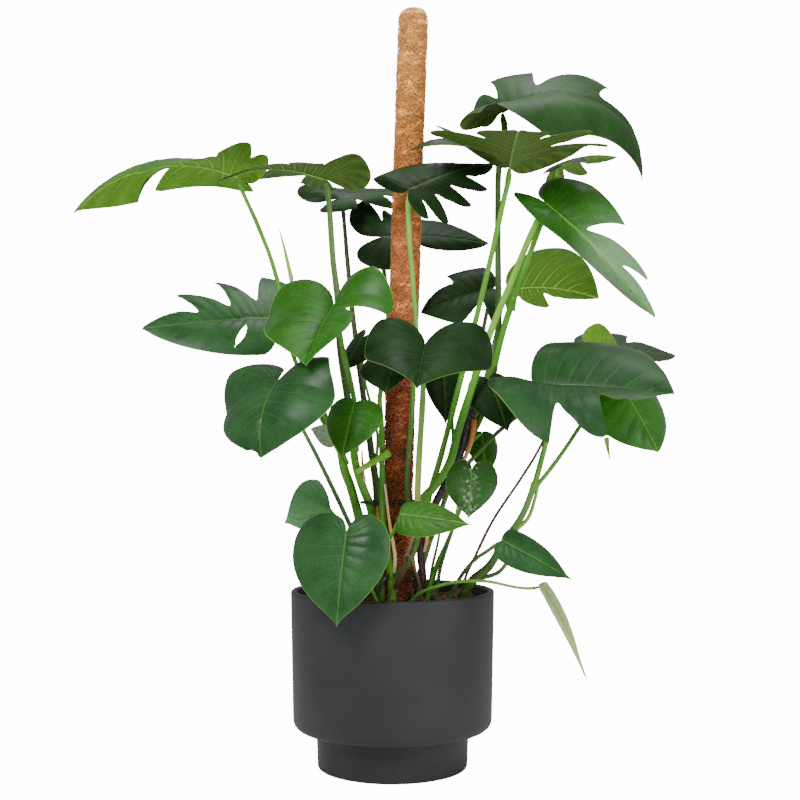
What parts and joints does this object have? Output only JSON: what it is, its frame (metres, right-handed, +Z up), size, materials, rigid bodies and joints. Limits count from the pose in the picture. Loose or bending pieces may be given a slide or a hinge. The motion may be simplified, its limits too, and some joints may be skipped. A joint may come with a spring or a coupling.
{
  "type": "potted swiss cheese plant",
  "caption": "Swiss cheese plant with cut and heart-shaped leaves on long stalks, tied to a coir pole and standing in soil in a round matt pot with a recessed foot.",
  "frame": {"origin": "middle of the pot's foot, on the surface that it stands on", "axes": "+Z up along the pot's axis, -Y towards the viewer of the picture, +X to the viewer's right"},
  "size_m": [0.9096, 0.4596, 1.1272],
  "materials": {
    "leaf_dark": "waxy dark green leaf, satin gloss",
    "leaf_fresh": "fresh green leaf, satin gloss",
    "leaf_lime": "young lime green leaf, satin",
    "stalk": "smooth green leaf stalk, satin",
    "pot": "matt charcoal glaze",
    "soil": "moist bark potting soil, rough",
    "coir": "wound coconut fibre, rough",
    "core": "plain round stick",
    "tie": "dark green plant tie"
  },
  "bodies": {
    "root": {"leaf_left_high": "leaf_dark", "leaf_left_inner": "leaf_dark", "leaf_rear_left": "leaf_dark", "leaf_front_high": "leaf_dark", "leaf_rear_middle": "leaf_dark", "leaf_top": "leaf_dark", "leaf_front_tall": "leaf_dark", "leaf_small_high": "leaf_dark", "leaf_right_hanging": "leaf_dark", "leaf_rear_right": "leaf_dark", "leaf_rear_small": "leaf_dark", "leaf_rear_far_right": "leaf_fresh", "leaf_right_low": "leaf_dark", "leaf_right_outer": "leaf_dark", "leaf_left_middle": "leaf_dark", "leaf_left_front": "leaf_dark", "leaf_centre_front": "leaf_dark", "leaf_centre_inner": "leaf_dark", "leaf_left_low": "leaf_dark", "leaf_heart_left": "leaf_dark", "leaf_bud_left": "leaf_dark", "leaf_heart_rear": "leaf_dark", "leaf_right_inner": "leaf_dark", "leaf_right_under": "leaf_dark", "leaf_heart_right": "leaf_fresh", "leaf_pointed_front": "leaf_fresh", "leaf_low_left_rear": "leaf_dark", "leaf_low_front": "leaf_dark", "leaf_low_right": "leaf_dark", "leaf_runner": "leaf_lime", "leaf_centre_left": "leaf_dark", "stems_left": "stalk", "stems_front": "stalk", "stems_right": "stalk", "stems_back": "stalk", "stems_far_right": "stalk", "stem_low_right": "stalk", "stem_runner": "stalk", "stem_low_left": "stalk", "stem_low_left_rear": "stalk", "stem_small_right": "stalk", "pot": "pot", "soil": "soil", "pole_core": "core", "pole_coir": "coir", "tie": "tie"}
  },
  "joints": []
}
